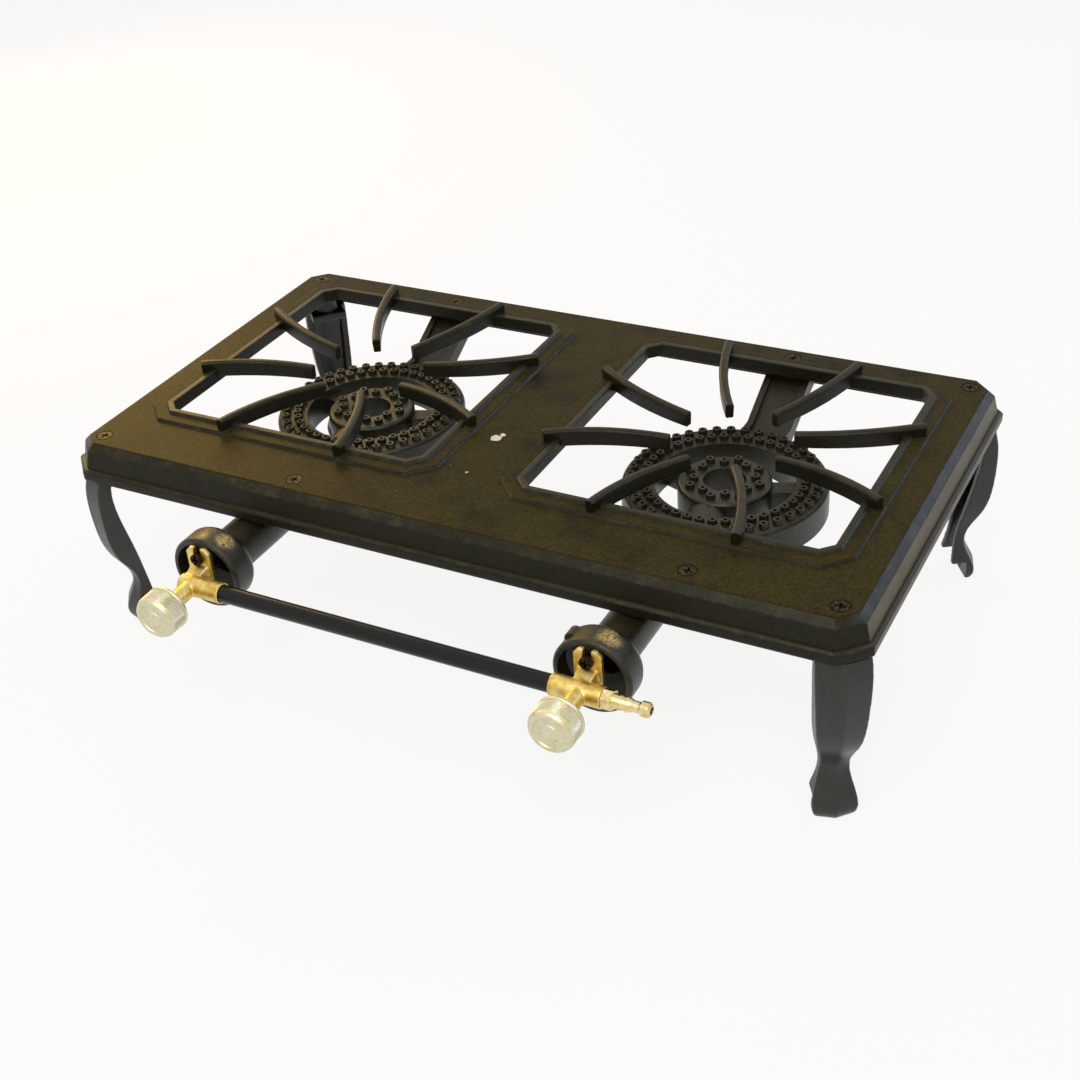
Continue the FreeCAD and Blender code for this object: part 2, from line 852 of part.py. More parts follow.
def needle_radius_at(y):
    """The needle cone's radius at a place along the valve's axis."""
    share = (needle_tip_y - y) / needle_length
    return needle_tip_radius + (spindle_radius - needle_tip_radius) * share


def spindle():
    """The needle spindle, closed on its seat."""
    return turned_along_y([
        (0, needle_tip_y), (needle_tip_radius, needle_tip_y),
        (spindle_radius, needle_back_y), (spindle_radius, spindle_front), (0, spindle_front),
    ])


def packing():
    """The packing ring between the bonnet's end and the gland nut."""
    ends = on_axis(packing_front), on_axis(packing_front + packing_thickness)
    return rod(bonnet_thread_radius, *ends).cut(rod(spindle_radius + running_clearance, *ends))


def gland_nut():
    """The hexagon cap nut that squeezes the packing round the spindle."""
    back = on_axis(bonnet_end - gland_gap)
    nut = hexagon_rod(gland_flats, on_axis(gland_front), back)
    thread = rod(bonnet_thread_radius + thread_clearance, on_axis(packing_front), back)
    return nut.cut(thread).cut(rod(spindle_radius + running_clearance, on_axis(gland_front), back))


def injector():
    """The gas jet: threaded into the valve's back, its drilled nose pointing into the bell."""
    thread_front = -bell_front - injector_thread_length
    head_back = injector_head - bell_front
    tip = head_back + injector_nose_length
    solid = hexagon_rod(injector_flats, on_axis(-bell_front), on_axis(head_back)).fuse([
        rod(injector_thread_radius, on_axis(thread_front), on_axis(-bell_front)),
        turned_along_y([
            (0, head_back), (injector_thread_radius, head_back),
            (injector_nose_radius, tip), (0, tip),
        ]),
    ])
    solid = solid.cut(rod(injector_bore, on_axis(thread_front), on_axis(tip - injector_tip)))
    return solid.cut(rod(injector_orifice, on_axis(tip - injector_tip), on_axis(tip))).removeSplitter()


def valve_screw():
    """The pan-head screw that clamps the fork plate to the bell's lug."""
    seat = on_axis(fork_front) + Vector(0, 0, valve_screw_rise)
    head_front = seat - Vector(0, valve_screw_head_height, 0)
    screw = rod(valve_screw_head_radius, head_front, seat)
    screw = screw.fuse(rod(valve_screw_radius, seat, seat + Vector(0, valve_screw_length, 0)))
    half = recess_width / 2
    arm = block(
        head_front - Vector(recess_span / 2, 0, half),
        head_front + Vector(recess_span / 2, recess_depth, half),
    )
    upright = arm.copy()
    upright.rotate(head_front, Vector(0, 1, 0), 90)
    return screw.cut(arm.fuse(upright)).removeSplitter()


def knob():
    """The knurled knob: a solid face, a raised rim round it and a hollow back over the gland nut."""
    rim_back = knob_face + knob_rim_length
    points = []
    for index in range(2 * knurl_count):
        turn = math.pi * index / knurl_count
        reach = knob_radius - knurl_depth * (index % 2)
        points.append(on_axis(rim_back) + Vector(reach * math.cos(turn), 0, reach * math.sin(turn)))
    band = prism(points, Vector(0, knob_back - rim_back, 0))
    rim_radius = knob_radius - knob_rim_inset
    solid = band.fuse(turned_along_y([
        (0, rim_back), (rim_radius, rim_back), (rim_radius, knob_face + knob_rim_inset),
        (rim_radius - knob_rim_inset, knob_face), (0, knob_face),
    ]))
    recess_radius = gland_flats / math.sqrt(3) + knob_recess_clearance
    face_radius = knob_radius - knob_face_inset
    solid = solid.cut(rod(recess_radius, on_axis(knob_recess_end), on_axis(knob_back)))
    solid = solid.cut(rod(face_radius, on_axis(knob_face), on_axis(knob_face + knob_face_depth)))
    bore_end = on_axis(spindle_front - gland_gap)
    return solid.cut(rod(spindle_radius + running_clearance, bore_end, on_axis(knob_recess_end)))


# Supply tube and hose nozzle

def manifold_tube():
    """The steel tube that carries gas from the right valve to the left one."""
    left = left_end_reach - tube_socket_depth - burner_pitch / 2
    right = burner_pitch / 2 - supply_end_reach + tube_socket_depth
    ends = on_axis(cross_tube_y, left), on_axis(cross_tube_y, right)
    return rod(manifold_radius, *ends).cut(rod(manifold_radius - manifold_wall, *ends))


def hose_nozzle():
    """The barbed nozzle in the right valve's free end."""
    start = nozzle_end_reach
    spigot = cross_bore - socket_clearance
    collar_end = start + nozzle_collar_length
    stations = [(start - nozzle_spigot_length, 0), (start - nozzle_spigot_length, spigot)]
    stations += [(collar_end, spigot)]
    x = collar_end
    for index in range(barb_count):
        stations += [(x, barb_high_radius), (x + barb_length, barb_low_radius)]
        x = x + barb_length
    stations += [(x, nozzle_neck_radius), (x + nozzle_neck_length, nozzle_neck_radius)]
    x = x + nozzle_neck_length
    stations += [
        (x + nozzle_bead_edge, nozzle_bead_radius),
        (x + nozzle_bead_edge + nozzle_bead_length, nozzle_bead_radius),
    ]
    x = x + 2 * nozzle_bead_edge + nozzle_bead_length
    stations += [(x, nozzle_bead_radius - nozzle_bead_edge), (x, 0)]
    collar = hexagon_rod(
        nozzle_collar_flats, on_axis(cross_tube_y, start), on_axis(cross_tube_y, collar_end)
    )
    solid = turned_along_x(stations, cross_tube_y).fuse(collar)
    bore = rod(
        nozzle_bore, on_axis(cross_tube_y, start - nozzle_spigot_length), on_axis(cross_tube_y, x)
    )
    return solid.cut(bore).removeSplitter()


# The whole table, piece by piece

pieces = {"top_frame": top_frame()}
for end, end_name in ((-1, "front"), (1, "rear")):
    for side, side_name in ((-1, "left"), (1, "right")):
        pieces[f"leg_{end_name}_{side_name}"] = leg_at(side, end)
pieces["leg_screws"] = Part.makeCompound(copies(plate_screw(), leg_screw_places))
pieces["burner_screws"] = Part.makeCompound(copies(plate_screw(), burner_screw_places))
to_tube_level = Vector(0, 0, tube_level)
valve_bodies = {
    "left": valve_body(left_blank_reach, left_end_reach, False, True, False),
    "right": valve_body(supply_end_reach, nozzle_end_reach, True, False, True),
}
for side, side_name in ((-1, "left"), (1, "right")):
    burner_middle = Vector(side * burner_pitch / 2, 0, 0)
    pieces[f"burner_{side_name}"] = burner(side_name == "right")
    pieces[f"burner_{side_name}"].translate(burner_middle)
    in_line = {
        "valve_body": valve_bodies[side_name],
        "spindle": spindle(),
        "packing": packing(),
        "gland_nut": gland_nut(),
        "injector": injector(),
        "knob": knob(),
        "valve_screw": valve_screw(),
    }
    for name, shape in in_line.items():
        shape.translate(burner_middle + to_tube_level)
        pieces[f"{name}_{side_name}"] = shape
pieces["manifold_tube"] = manifold_tube()
pieces["manifold_tube"].translate(to_tube_level)
pieces["hose_nozzle"] = hose_nozzle()
pieces["hose_nozzle"].translate(burner_middle + to_tube_level)

# The origin goes under the middle of everything: from the knobs' faces to the rear legs' knees
rear_reach = pieces["leg_rear_right"].optimalBoundingBox().YMax
to_middle = Vector(0, -(knob_face + rear_reach) / 2, 0)
os.makedirs("parts", exist_ok=True)
for name, shape in pieces.items():
    shape.translate(to_middle)
    shape.exportStep(f"parts/{name}.step")
    print(f"{name}: {len(shape.Solids)} solid, {shape.Volume / 1000:.2f} cm3, valid {shape.isValid()}")
print(f"plate middle at y = {to_middle.y:.3f} mm")
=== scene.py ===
# %% [markdown]
# # A cast-iron boiling table in Blender
# The table's solids come from CAD as a fixed frame, in metres, with the floor at z = 0. This lesson gives
# them the looks of the real thing: soft cast edges, brushed black paint, brass and zinc. Nothing here
# changes a size, so the box round the CAD model is kept.

# %% Load the frame
import math

import bpy
from mathutils import Matrix, Vector


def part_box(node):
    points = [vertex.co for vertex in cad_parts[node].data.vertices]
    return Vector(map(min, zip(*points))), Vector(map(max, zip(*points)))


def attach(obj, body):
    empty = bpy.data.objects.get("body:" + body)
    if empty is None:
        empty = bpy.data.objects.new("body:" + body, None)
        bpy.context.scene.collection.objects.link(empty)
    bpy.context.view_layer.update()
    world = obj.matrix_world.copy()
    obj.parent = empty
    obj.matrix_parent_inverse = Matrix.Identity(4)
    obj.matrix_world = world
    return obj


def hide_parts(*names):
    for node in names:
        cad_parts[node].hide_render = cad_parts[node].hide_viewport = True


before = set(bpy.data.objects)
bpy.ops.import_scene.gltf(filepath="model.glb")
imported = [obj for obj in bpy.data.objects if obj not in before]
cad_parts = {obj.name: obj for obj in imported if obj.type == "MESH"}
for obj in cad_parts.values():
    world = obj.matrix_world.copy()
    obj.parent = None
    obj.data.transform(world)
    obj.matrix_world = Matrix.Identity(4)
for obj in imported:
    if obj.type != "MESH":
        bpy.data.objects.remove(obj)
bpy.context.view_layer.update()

MM = 0.001
table_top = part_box("leg_screws")[1].z
plate_low, plate_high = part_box("top_frame")
plate_middle_y = (plate_low.y + plate_high.y) / 2
print("CAD nodes:", len(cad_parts), "top of the plate at", round(table_top / MM, 1), "mm")

# %% [markdown]
# ## Colours and nodes
# Colours are written as sRGB hex values, as a paint shop would note them, and one function turns them
# into the linear values that a renderer needs. One small function adds a shader node, gives it its
# settings, and sets or links its sockets, so that a material reads from top to bottom like a recipe.

# %% Colours
def tone(hex_code):
    """An sRGB hex colour as linear red, green, blue and alpha."""
    values = [int(hex_code[i:i + 2], 16) / 255 for i in (1, 3, 5)]
    linear = [v / 12.92 if v <= 0.04045 else ((v + 0.055) / 1.055) ** 2.4 for v in values]
    return (*linear, 1.0)


print("tone('#808080') is", round(tone("#808080")[0], 3))

# %% Nodes
def add(tree, kind, inputs, **settings):
    """Add a node with its settings; a socket given a number is set, one given a socket is linked."""
    made = tree.nodes.new(kind)
    for setting, value in settings.items():
        setattr(made, setting, value)
    for socket, value in inputs.items():
        if isinstance(value, bpy.types.NodeSocket):
            tree.links.new(value, made.inputs[socket])
        else:
            made.inputs[socket].default_value = value
    return made.outputs


def start_finish(name):
    """A new material: itself, its node tree, its shader's sockets and the object's own coordinates."""
    finish = bpy.data.materials.new(name)
    finish.use_nodes = True
    tree = finish.node_tree
    sockets = tree.nodes["Principled BSDF"].inputs
    return finish, tree, sockets, add(tree, "ShaderNodeTexCoord", {})["Object"]


def per_mm(size):
    """The texture scale at which one feature of a pattern is this many millimetres across."""
    return 1000 / size


print("a pattern of 2 mm has the scale", per_mm(2.0))

# %% [markdown]
# Most of a finish is one colour over another in the right places. Where it lies is said by limits: a value,
# such as a noise or a face's slope, and the two numbers between which the upper colour fades in. Several
# limits may have to hold at once. A ragged spot is a limit too: the distance from a point, shaken by a
# noise, so that the spot's edge looks torn.

# %% Coats and spots
def coat(tree, under, over, *limits):
    """One colour over another where all limits hold; a limit is a value, its start and its end."""
    share = None
    for value, start, end in limits:
        step = add(tree, "ShaderNodeMapRange", {
            "Value": value, "From Min": start, "From Max": end}, interpolation_type="SMOOTHSTEP")["Result"]
        if share is None:
            share = step
        else:
            share = add(tree, "ShaderNodeMath", {0: share, 1: step}, operation="MULTIPLY")[0]
    return add(tree, "ShaderNodeMix", {0: share, 6: under, 7: over}, data_type="RGBA")[2]


def on_plate(x, y, depth=0.0):
    """A point in millimetres, from the middle of the plate and so far below its top."""
    return Vector((x, y + plate_middle_y / MM, table_top / MM - depth))


def ragged_spot(tree, place, point_mm, radius_mm, ragged_mm, grain_mm, fade_mm):
    """The limit for a ragged spot round a point of the object, with a fading edge."""
    ragged = add(tree, "ShaderNodeTexNoise", {
        "Vector": place, "Scale": per_mm(grain_mm), "Detail": 4.0})["Fac"]
    away = add(tree, "ShaderNodeVectorMath", {0: place, 1: point_mm * MM}, operation="DISTANCE")["Value"]
    shaken = add(tree, "ShaderNodeMath", {
        0: ragged, 1: 2 * ragged_mm * MM, 2: away}, operation="MULTIPLY_ADD")[0]
    edge = (radius_mm + ragged_mm) * MM
    return shaken, edge, edge - fade_mm * MM


print("the plate's middle is at", [round(c, 1) for c in on_plate(0, 0)], "mm")

# %% [markdown]
# ## Black paint on cast iron
# The top, the legs and the burners are sand-cast iron under a brushed coat of black stove paint. A sand
# mould leaves a grain of about a millimetre and the brush leaves thicker and thinner patches. The upward
# faces get a painted warm olive sheen in the brush patches, a colour that stands in for the warm light they
# catch; sides have none and stay near black. The paint is a dielectric, so grain and patches drive its bump
# and roughness, and one number sets its shine.

# %% Paint on castings
PATCH_MM = 34.0
MOTTLE_MM = 2.6


def facing_up(tree):
    """How far a face looks up: 1 for a level one, 0 for an upright one."""
    normal = add(tree, "ShaderNodeNewGeometry", {})["Normal"]
    return add(tree, "ShaderNodeSeparateXYZ", {"Vector": normal})["Z"]


def cast_paint(name, painted_sheen, side, gloss, shine, grain_mm, grain_depth_mm):
    """Black paint on a casting: a painted warm sheen on upward faces, patchy gloss and a sand grain."""
    finish, tree, shader, place = start_finish(name)
    patches = add(tree, "ShaderNodeTexNoise", {
        "Vector": place, "Scale": per_mm(PATCH_MM), "Detail": 5.0, "Roughness": 0.6})["Fac"]
    mottle = add(tree, "ShaderNodeTexNoise", {
        "Vector": place, "Scale": per_mm(MOTTLE_MM), "Detail": 6.0, "Roughness": 0.8})["Fac"]
    grain = add(tree, "ShaderNodeTexNoise", {
        "Vector": place, "Scale": per_mm(grain_mm), "Detail": 3.0, "Roughness": 0.6})["Fac"]
    # painted sheen: upward faces take a warm olive colour for the warm light they catch
    sheen_colour = coat(tree, tone(painted_sheen[0]), tone(painted_sheen[1]), (mottle, 0.3, 0.75))
    paint = coat(tree, tone(side[0]), tone(side[1]), (mottle, 0.35, 0.7))
    colour = coat(tree, paint, sheen_colour, (facing_up(tree), 0.6, 0.96), (patches, 0.1, 0.6))
    tree.links.new(colour, shader["Base Color"])
    spread = add(tree, "ShaderNodeMapRange", {
        "Value": patches, "From Min": 0.3, "From Max": 0.7,
        "To Min": gloss - 0.06, "To Max": gloss + 0.08})["Result"]
    tree.links.new(spread, shader["Roughness"])
    height = add(tree, "ShaderNodeMath", {0: mottle, 1: 1.5, 2: grain}, operation="MULTIPLY_ADD")[0]
    bump = add(tree, "ShaderNodeBump", {
        "Strength": 0.7, "Distance": grain_depth_mm * MM, "Height": height})["Normal"]
    tree.links.new(bump, shader["Normal"])
    shader["Specular IOR Level"].default_value = shine
    return finish, tree, shader, place, colour


leg_paint = cast_paint(
    "stove_paint_on_legs", painted_sheen=("#1f1e15", "#2a281c"), side=("#181912", "#282922"),
    gloss=0.36, shine=0.5, grain_mm=1.6, grain_depth_mm=0.14)[0]
print(leg_paint.name, "with brush patches of", PATCH_MM, "mm and a mottle of", MOTTLE_MM, "mm")

# %% [markdown]
# The top casting wears three such paints. Its sides are satin black, with lighter olive grey patches along
# the slanting edge: paint rubbed thin there, and painted glints where the edge catches the light. Its
# right-hand end wall is painted a pale taupe: painted light, for the light that falls on that wall. Its top
# is dull under a painted warm sheen, with a few rust specks, a painted dark ring of shade round each screw
# head, and two places on the middle strip where the paint has flaked off down to a pale ground.

# %% The paint on the top casting's sides and end
def worn_and_glinting_slopes(tree, place, size_mm):
    """Limits for soft lighter patches on the slanting faces alone: paint rubbed thin by cloths and pans, and
    painted glints.
    """
    slope = facing_up(tree)
    rubbed_and_glinting = add(tree, "ShaderNodeTexNoise", {
        "Vector": place, "Scale": per_mm(size_mm), "Detail": 6.0, "Roughness": 0.75})["Fac"]
    return (slope, 0.3, 0.45), (slope, 0.9, 0.8), (rubbed_and_glinting, 0.42, 0.86)


side_paint, tree, shader, place, colour = cast_paint(
    "stove_paint_on_sides", painted_sheen=("#231f10", "#3a331a"), side=("#15150b", "#232316"),
    gloss=0.36, shine=0.17, grain_mm=1.1, grain_depth_mm=0.16)
# painted glints and rubbed paint: a lighter olive grey on the slanting faces
colour = coat(tree, colour, tone("#4a4630"), *worn_and_glinting_slopes(tree, place, size_mm=16.0))
tree.links.new(colour, shader["Base Color"])
# painted light: the whole right-hand end wall is a pale taupe for the light that falls on it
painted_light_end_paint = cast_paint(
    "stove_paint_with_painted_light_on_end", painted_sheen=("#4a422c", "#5a5138"), side=("#4a422c", "#5a5138"),
    gloss=0.45, shine=0.42, grain_mm=1.1, grain_depth_mm=0.16)[0]
print("finishes:", side_paint.name, painted_light_end_paint.name)

# %% The paint on the plate
LEG_SCREWS_MM = [(x, y) for x in (-277.7, 277.7) for y in (-141.7, 141.7)]
BURNER_SCREWS_MM = [(-145.5, 142.0), (145.5, 142.0), (-110.1, -141.5), (180.9, -141.5)]
FLAKES_MM = [((-6.1, -42.3), 4.2), ((-4.0, -37.5), 2.4), ((-3.2, -90.0), 1.5)]


def rust_specks(tree, place, share, size_mm, spacing_mm):
    """Limits for scattered small specks: the middles of a few cells of a cell pattern."""
    cells = add(tree, "ShaderNodeTexVoronoi", {"Vector": place, "Scale": per_mm(spacing_mm)})
    chosen = add(tree, "ShaderNodeSeparateColor", {"Color": cells["Color"]})[0]
    reach = size_mm / spacing_mm
    return (chosen, 1.0 - share, 1.0 - share + 0.01), (cells["Distance"], reach, reach / 2)


top_paint, tree, shader, place, colour = cast_paint(
    "stove_paint_with_painted_sheen_on_top", painted_sheen=("#2b2813", "#494020"), side=("#12130d", "#1d1e16"),
    gloss=0.34, shine=0.03, grain_mm=1.1, grain_depth_mm=0.16)
specks = rust_specks(tree, place, share=0.035, size_mm=1.3, spacing_mm=9.0)
colour = coat(tree, colour, tone("#7c4a1c"), *specks)
# painted shade: a dark ring round each screw head
for x, y in LEG_SCREWS_MM + BURNER_SCREWS_MM:
    screw_ring_shade = ragged_spot(
        tree, place, on_plate(x, y), radius_mm=7.2, ragged_mm=0.7, grain_mm=4.0, fade_mm=1.4)
    colour = coat(tree, colour, tone("#14130b"), screw_ring_shade)
for (x, y), radius in FLAKES_MM:
    bare = ragged_spot(
        tree, place, on_plate(x, y), radius_mm=radius, ragged_mm=2.4, grain_mm=5.0, fade_mm=0.4)
    colour = coat(tree, colour, tone("#e2d8cc"), bare)
tree.links.new(colour, shader["Base Color"])
print(top_paint.name, "with", len(FLAKES_MM), "flaked spots")

# %% [markdown]
# The burners are the same iron with a thinner, drier coat. On the tops of the air bells the paint has
# been rubbed through, and a speckled bronze ground shows in patches about two centimetres across.

# %% The burners' paint
BELL_DEPTH_MM = 20.0
RUBBED_MM = [
    ((153.6, -198.0), 10.0), ((-131.8, -197.0), 10.0), ((-146.0, -201.0), 6.0), ((127.0, -192.0), 3.5)]
burner_paint, tree, shader, place, colour = cast_paint(
    "stove_paint_on_burners", painted_sheen=("#1c1b0c", "#37321a"), side=("#16170b", "#2b2b1b"),
    gloss=0.33, shine=0.40, grain_mm=1.3, grain_depth_mm=0.18)
speckle = add(tree, "ShaderNodeTexNoise", {
    "Vector": place, "Scale": per_mm(2.2), "Detail": 5.0, "Roughness": 0.8})["Fac"]
bronze = coat(tree, tone("#64512d"), tone("#c4aa6c"), (speckle, 0.35, 0.6))
for (x, y), radius in RUBBED_MM:
    bell_top = on_plate(x, y, BELL_DEPTH_MM)
    worn = ragged_spot(
        tree, place, bell_top, radius_mm=radius, ragged_mm=5.0, grain_mm=9.0, fade_mm=7.0)
    colour = coat(tree, colour, bronze, worn, (speckle, 0.2, 0.55))
tree.links.new(colour, shader["Base Color"])
print(burner_paint.name, "with", len(RUBBED_MM), "rubbed patches")

# %% [markdown]
# ## Brass, zinc and steel
# The valve bodies are cast brass, filed and left satin. The nozzle and the parts inside are turned brass,
# brighter and paler, with faint tool marks. The knobs are zinc-plated and yellow-passivated, a thin film
# that shifts between straw, pink and pale green. The screws are dark oiled or rusty steel. Metals keep the
# default IOR and take their colour from the base colour alone.

# %% Metal finishes
def metal(name, shades, gloss, patch_mm, mark_mm, mark_depth_mm):
    """A bare metal: shades of one colour in soft patches, uneven gloss and fine marks."""
    finish, tree, shader, place = start_finish(name)
    patches = add(tree, "ShaderNodeTexNoise", {
        "Vector": place, "Scale": per_mm(patch_mm), "Detail": 4.0, "Roughness": 0.6})["Fac"]
    marks = add(tree, "ShaderNodeTexNoise", {
        "Vector": place, "Scale": per_mm(mark_mm), "Detail": 3.0, "Roughness": 0.7})["Fac"]
    colour = tone(shades[0])
    for index, shade in enumerate(shades[1:]):
        start = 0.36 + 0.14 * index
        colour = coat(tree, colour, tone(shade), (patches, start, start + 0.16))
    tree.links.new(colour, shader["Base Color"])
    spread = add(tree, "ShaderNodeMapRange", {
        "Value": marks, "From Min": 0.3, "From Max": 0.7,
        "To Min": gloss - 0.05, "To Max": gloss + 0.07})["Result"]
    tree.links.new(spread, shader["Roughness"])
    bump = add(tree, "ShaderNodeBump", {
        "Strength": 0.6, "Distance": mark_depth_mm * MM, "Height": marks})["Normal"]
    tree.links.new(bump, shader["Normal"])
    shader["Metallic"].default_value = 1.0
    return finish


cast_brass = metal(
    "satin_cast_brass", ("#c8a955", "#dcc274", "#e6d393"),
    gloss=0.42, patch_mm=7.0, mark_mm=0.9, mark_depth_mm=0.05)
turned_brass = metal(
    "turned_brass", ("#d6ba7a", "#e2cd96", "#ecdcb0"),
    gloss=0.28, patch_mm=5.0, mark_mm=0.6, mark_depth_mm=0.02)
zinc = metal(
    "yellow_passivated_zinc", ("#d3cba4", "#dbd8b8", "#dcc8b4", "#cad8c2"),
    gloss=0.42, patch_mm=9.0, mark_mm=0.8, mark_depth_mm=0.02)
rusty_steel = metal(
    "rusty_dark_steel", ("#1d1711", "#35291d", "#4c3422"),
    gloss=0.50, patch_mm=2.5, mark_mm=0.7, mark_depth_mm=0.05)
oiled_steel = metal(
    "oiled_screw_steel", ("#211d12", "#362f1f", "#514935"),
    gloss=0.52, patch_mm=2.5, mark_mm=0.7, mark_depth_mm=0.05)
print("metals:", [m.name for m in (cast_brass, turned_brass, zinc, rusty_steel, oiled_steel)])

# %% [markdown]
# The supply tube is steel under gloss black paint. Its gloss is what shows: long streaks of light along
# its length, slightly wavy where the paint ran. The packing rings inside the valves are graphited yarn,
# dull and dark grey.

# %% Tube paint
RUN_MM = 3.0
RUN_STRETCH = 0.08
RUN_DEPTH_MM = 0.08
tube_paint, tree, shader, place = start_finish("gloss_black_tube_paint")
along = add(tree, "ShaderNodeMapping", {"Vector": place, "Scale": (RUN_STRETCH, 1.0, 1.0)})["Vector"]
runs = add(tree, "ShaderNodeTexNoise", {"Vector": along, "Scale": per_mm(RUN_MM), "Detail": 3.0})["Fac"]
black = add(tree, "ShaderNodeMix", {0: runs, 6: tone("#0b0c0a"), 7: tone("#1a1b16")}, data_type="RGBA")[2]
tree.links.new(black, shader["Base Color"])
wavy = add(tree, "ShaderNodeMapRange", {"Value": runs, "To Min": 0.16, "To Max": 0.32})["Result"]
tree.links.new(wavy, shader["Roughness"])
bump = add(tree, "ShaderNodeBump", {
    "Strength": 0.5, "Distance": RUN_DEPTH_MM * MM, "Height": runs})["Normal"]
tree.links.new(bump, shader["Normal"])
shader["Specular IOR Level"].default_value = 0.26
print("tube:", tube_paint.name)

# %% Packing
STRAND_MM = 0.8
packing_yarn, tree, shader, place = start_finish("graphited_packing")
strands = add(tree, "ShaderNodeTexNoise", {"Vector": place, "Scale": per_mm(STRAND_MM), "Detail": 2.0})["Fac"]
grey = add(tree, "ShaderNodeMix", {0: strands, 6: tone("#2a2927"), 7: tone("#4a4844")}, data_type="RGBA")[2]
tree.links.new(grey, shader["Base Color"])
shader["Roughness"].default_value = 0.7
print("packing:", packing_yarn.name)

# %% [markdown]
# ## Soft cast edges
# A casting has no knife edges: the sand rounds them and the paint fills them. Rounding in the mesh, not in
# the shader, catches the light along each edge. A CAD node's mesh is loose triangles, so a copy of it is
# welded first, and the copy then stands for the node.

# %% Weld a copy of a CAD node
WELD_MM = 0.002


def select_only(piece):
    """Make one object the only selected one and the active one."""
    bpy.ops.object.select_all(action="DESELECT")
    piece.select_set(True)
    bpy.context.view_layer.objects.active = piece


def welded_copy(node, name):
    """A copy of a CAD node with its loose triangles welded, and without the node's own tags."""
    select_only(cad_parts[node])
    bpy.ops.object.duplicate()
    piece = bpy.context.active_object
    piece.name = name
    piece.data.name = name
    for key in list(piece.keys()):
        del piece[key]
    bpy.ops.object.mode_set(mode="EDIT")
    bpy.ops.mesh.select_all(action="SELECT")
    bpy.ops.mesh.customdata_custom_splitnormals_clear()
    bpy.ops.mesh.remove_doubles(threshold=WELD_MM * MM)
    bpy.ops.object.mode_set(mode="OBJECT")
    return piece


print("corners within", WELD_MM, "mm are welded")

# %% [markdown]
# A bevel then rounds every sharp edge that sticks out. Inner corners stay crisp: a bevel weight of 1 marks
# the outer edges alone. An edge is an outer one if its two faces bend away from each other, which the cross
# product of their normals tells.

# %% Round the outer edges
SHARP_DEGREES = 32


def applied(piece, kind, **settings):
    """Add a modifier to the active piece with its settings and apply it."""
    bpy.ops.object.modifier_add(type=kind)
    modifier = piece.modifiers[-1]
    for setting, value in settings.items():
        setattr(modifier, setting, value)
    bpy.ops.object.modifier_apply(modifier=modifier.name)


def mark_outer_edges(piece):
    """Give the sharp edges that stick out a bevel weight of 1, and all the others 0."""
    mesh = piece.data
    normal_along = {}
    for face in mesh.polygons:
        corners = list(face.vertices)
        for start, end in zip(corners, corners[1:] + corners[:1]):
            normal_along[start, end] = face.normal.copy()
    flat_enough = math.cos(math.radians(SHARP_DEGREES))
    weights = []
    for edge in mesh.edges:
        start, end = edge.vertices
        first, second = normal_along.get((start, end)), normal_along.get((end, start))
        outer = False
        if first and second and first.dot(second) < flat_enough:
            along = mesh.vertices[end].co - mesh.vertices[start].co
            outer = first.cross(second).dot(along) > 0
        weights.append(1.0 if outer else 0.0)
    layer = mesh.attributes.new("bevel_weight_edge", "FLOAT", "EDGE")
    layer.data.foreach_set("value", weights)


def rounded(piece, width_mm, segments):
    """Round the outer edges of the active piece and shade it smooth."""
    mark_outer_edges(piece)
    applied(piece, "BEVEL", width=width_mm * MM, segments=segments, limit_method="WEIGHT",
            use_clamp_overlap=False)
    bpy.ops.object.shade_smooth_by_angle(angle=math.radians(SHARP_DEGREES))
    applied(piece, "WEIGHTED_NORMAL", keep_sharp=True)


print("edges sharper than", SHARP_DEGREES, "degrees are rounded")

# %% [markdown]
# A finished piece takes its paint, hangs on the body it rides on, and hides the CAD node it stands for.

# %% Finish a piece
def finished(piece, body, finish, node):
    """Give a piece its finish, hang it on the body it rides on, and hide the CAD node it stands for."""
    piece.data.materials.clear()
    piece.data.materials.append(finish)
    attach(piece, body)
    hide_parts(node)
    print(piece.name, len(piece.data.polygons), "faces")


# %% [markdown]
# The top casting's flats are long and pierced by holes, and a bevel works best on whole faces. So the
# triangles of each flat are joined first. A face can't run round a hole, so the flats are cut across every
# screw hole and both openings before they are joined. Faces are then painted by where they lie.

# %% The top casting
HOLE_LINES_MM = sorted({x for x, y in LEG_SCREWS_MM + BURNER_SCREWS_MM})
FLAT_DEGREES = 0.2
TOP_BAND_MM = 3
END_BAND_MM = 8


def joined_flats(cuts_mm):
    """Join the triangles of the active piece's flats, after cuts across it at these places along X."""
    bpy.ops.object.mode_set(mode="EDIT")
    for x in cuts_mm:
        bpy.ops.mesh.select_all(action="SELECT")
        bpy.ops.mesh.bisect(plane_co=(x * MM, 0, 0), plane_no=(1, 0, 0))
        bpy.ops.mesh.mark_seam()
    bpy.ops.mesh.select_all(action="SELECT")
    bpy.ops.mesh.dissolve_limited(angle_limit=math.radians(FLAT_DEGREES), delimit={"SEAM"})
    bpy.ops.object.mode_set(mode="OBJECT")


top_casting = welded_copy("top_frame", "top_casting")
joined_flats(HOLE_LINES_MM)
rounded(top_casting, width_mm=0.9, segments=3)
finished(top_casting, "table", top_paint, "top_frame")
top_casting.data.materials.append(side_paint)
top_casting.data.materials.append(painted_light_end_paint)
for face in top_casting.data.polygons:
    on_top = face.normal.z > 0.8 and abs(face.center.z - table_top) < TOP_BAND_MM * MM
    on_end = face.normal.x > 0.9 and face.center.x > plate_high.x - END_BAND_MM * MM
    face.material_index = 0 if on_top else 2 if on_end else 1

# %% [markdown]
# The burners, the tube, the nozzle and the screws get a narrower rounding, each as wide as its making
# leaves it: almost half a millimetre on the burner castings, a hair on the turned nozzle.

